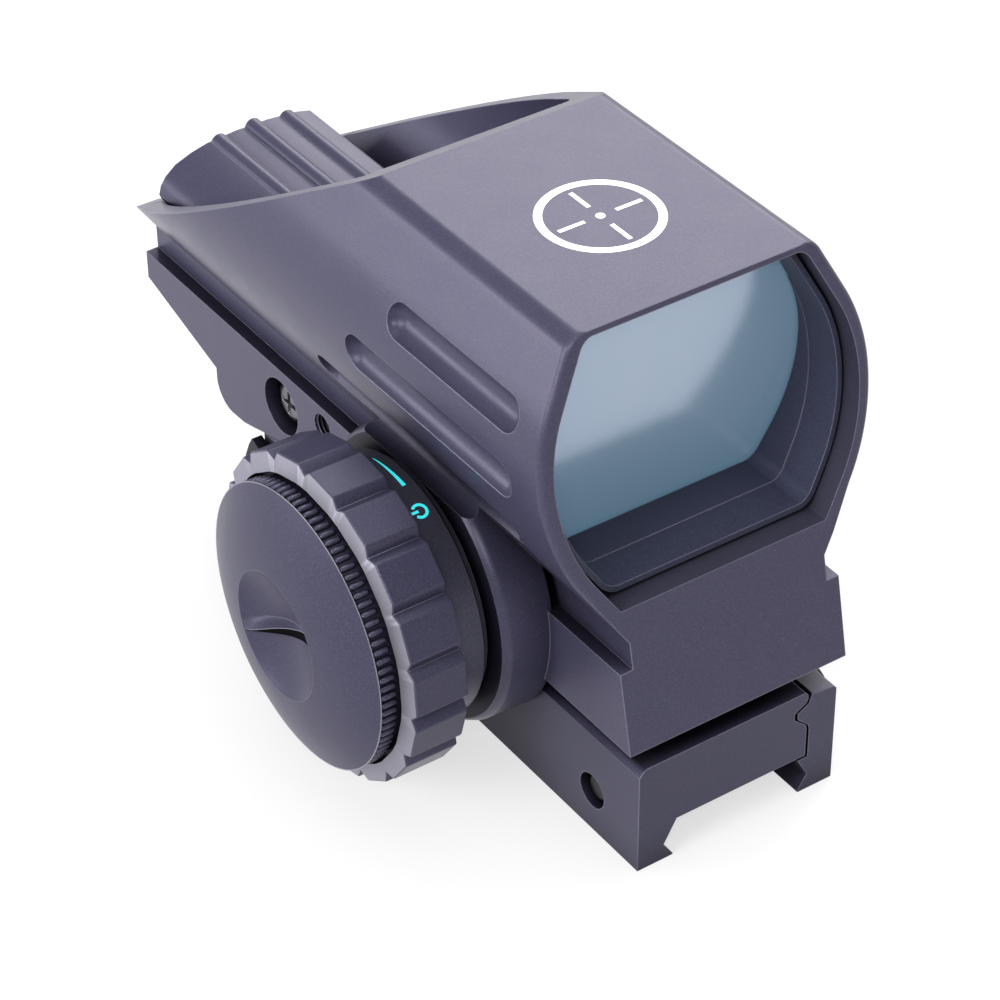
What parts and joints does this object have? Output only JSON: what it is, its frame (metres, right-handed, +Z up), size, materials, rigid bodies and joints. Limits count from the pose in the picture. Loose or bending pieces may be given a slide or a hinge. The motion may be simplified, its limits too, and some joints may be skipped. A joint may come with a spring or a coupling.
{
  "type": "reflex sight",
  "caption": "Hooded reflex red dot sight with a ribbed light cover, a notched brightness dial with a battery cap on its left side and a rail clamp underneath.",
  "frame": {"origin": "centre of the flat face of the clamp that rests on the rail", "axes": "+Z up, -Y towards the window (front), -X towards the brightness dial"},
  "size_m": [0.0505, 0.0865, 0.0551],
  "materials": {
    "housing": "dark violet-grey anodised, satin",
    "lens_sleeve": "navy grey, fine grain",
    "lens": "coated glass, pale blue to deep blue",
    "emitter_cover": "dark anodised, satin",
    "emitter_carriage": "blackened steel",
    "led_holder": "black",
    "led": "red clear",
    "windage_screw": "bright nickel",
    "windage_lock_screw": "black oxide",
    "elevation_screw": "bright nickel",
    "cover_screw_left": "black oxide",
    "cover_screw_right": "black oxide",
    "clamp_base": "dark anodised, satin",
    "clamp_jaw": "dark anodised, satin",
    "clamp_lock_plate": "black",
    "clamp_bolt_front": "black oxide",
    "clamp_bolt_rear": "black oxide",
    "clamp_screw_front": "black oxide",
    "clamp_screw_rear": "black oxide",
    "index_collar": "black with pale blue-green marks",
    "dial_ring": "dark anodised, satin",
    "dial_clip": "spring steel",
    "battery_cap": "dark anodised, satin",
    "cap_o_ring": "black",
    "battery": "nickel-plated",
    "cap_contact": "spring steel",
    "switch_board": "green board",
    "contact_spring": "spring wire"
  },
  "bodies": {
    "sight": {"housing": "housing", "lens_sleeve": "lens_sleeve", "lens": "lens", "emitter_cover": "emitter_cover", "cover_screw_left": "cover_screw_left", "cover_screw_right": "cover_screw_right", "windage_lock_screw": "windage_lock_screw", "clamp_base": "clamp_base", "clamp_lock_plate": "clamp_lock_plate", "clamp_screw_front": "clamp_screw_front", "clamp_screw_rear": "clamp_screw_rear", "index_collar": "index_collar", "switch_board": "switch_board", "contact_spring": "contact_spring"},
    "windage": {"windage_screw": "windage_screw"},
    "carriage": {"emitter_carriage": "emitter_carriage"},
    "elevation": {"elevation_screw": "elevation_screw"},
    "led_post": {"led_holder": "led_holder", "led": "led"},
    "jaw": {"clamp_jaw": "clamp_jaw"},
    "front_bolt": {"clamp_bolt_front": "clamp_bolt_front"},
    "rear_bolt": {"clamp_bolt_rear": "clamp_bolt_rear"},
    "dial": {"dial_ring": "dial_ring", "dial_clip": "dial_clip", "battery": "battery"},
    "seal": {"cap_o_ring": "cap_o_ring"},
    "cap": {"battery_cap": "battery_cap", "cap_contact": "cap_contact"}
  },
  "joints": [
    {"name": "carriage_slide", "type": "slide", "parent": "sight", "child": "carriage", "axis": [1, 0, 0], "range_m": [-0.00075, 0.00075]},
    {"name": "windage_turn", "type": "hinge", "parent": "sight", "child": "windage", "pos_m": [-0.0096, 0.02662, 0.01386], "axis": [1, 0, 0], "range_deg": [-541, 541]},
    {"name": "led_slide", "type": "slide", "parent": "carriage", "child": "led_post", "axis": [0, 0, 1], "range_m": [-0.0006, 0.0006]},
    {"name": "elevation_turn", "type": "hinge", "parent": "sight", "child": "elevation", "pos_m": [0, 0.03452, 0.00996], "axis": [0, 0, 1], "range_deg": [-433, 433]},
    {"name": "jaw_slide", "type": "slide", "parent": "sight", "child": "jaw", "axis": [1, 0, 0], "range_m": [0, 0.0055]},
    {"name": "front_bolt_turn", "type": "hinge", "parent": "jaw", "child": "front_bolt", "pos_m": [0.01165, -0.02488, 0.00036], "axis": [1, 0, 0], "range_deg": [0, 2829.5]},
    {"name": "rear_bolt_turn", "type": "hinge", "parent": "jaw", "child": "rear_bolt", "pos_m": [0.01165, 0.02488, 0.00036], "axis": [1, 0, 0], "range_deg": [0, 2829.5]},
    {"name": "dial_turn", "type": "hinge", "parent": "sight", "child": "dial", "pos_m": [-0.0221, -0.00464, 0.01504], "axis": [-1, 0, 0], "range_deg": [0, 300]},
    {"name": "seal_slide", "type": "slide", "parent": "dial", "child": "seal", "axis": [-1, 0, 0], "range_m": [0, 0.0045]},
    {"name": "cap_turn", "type": "hinge", "parent": "seal", "child": "cap", "pos_m": [-0.03, -0.00464, 0.01504], "axis": [-1, 0, 0], "range_deg": [0, 1081]}
  ],
  "couplings": [
    {"joint": "windage_turn", "follows": "carriage_slide", "rad_per_m": 12566},
    {"joint": "elevation_turn", "follows": "led_slide", "rad_per_m": 12566},
    {"joint": "front_bolt_turn", "follows": "jaw_slide", "rad_per_m": 8976},
    {"joint": "rear_bolt_turn", "follows": "jaw_slide", "rad_per_m": 8976},
    {"joint": "cap_turn", "follows": "seal_slide", "rad_per_m": 4188.8}
  ]
}
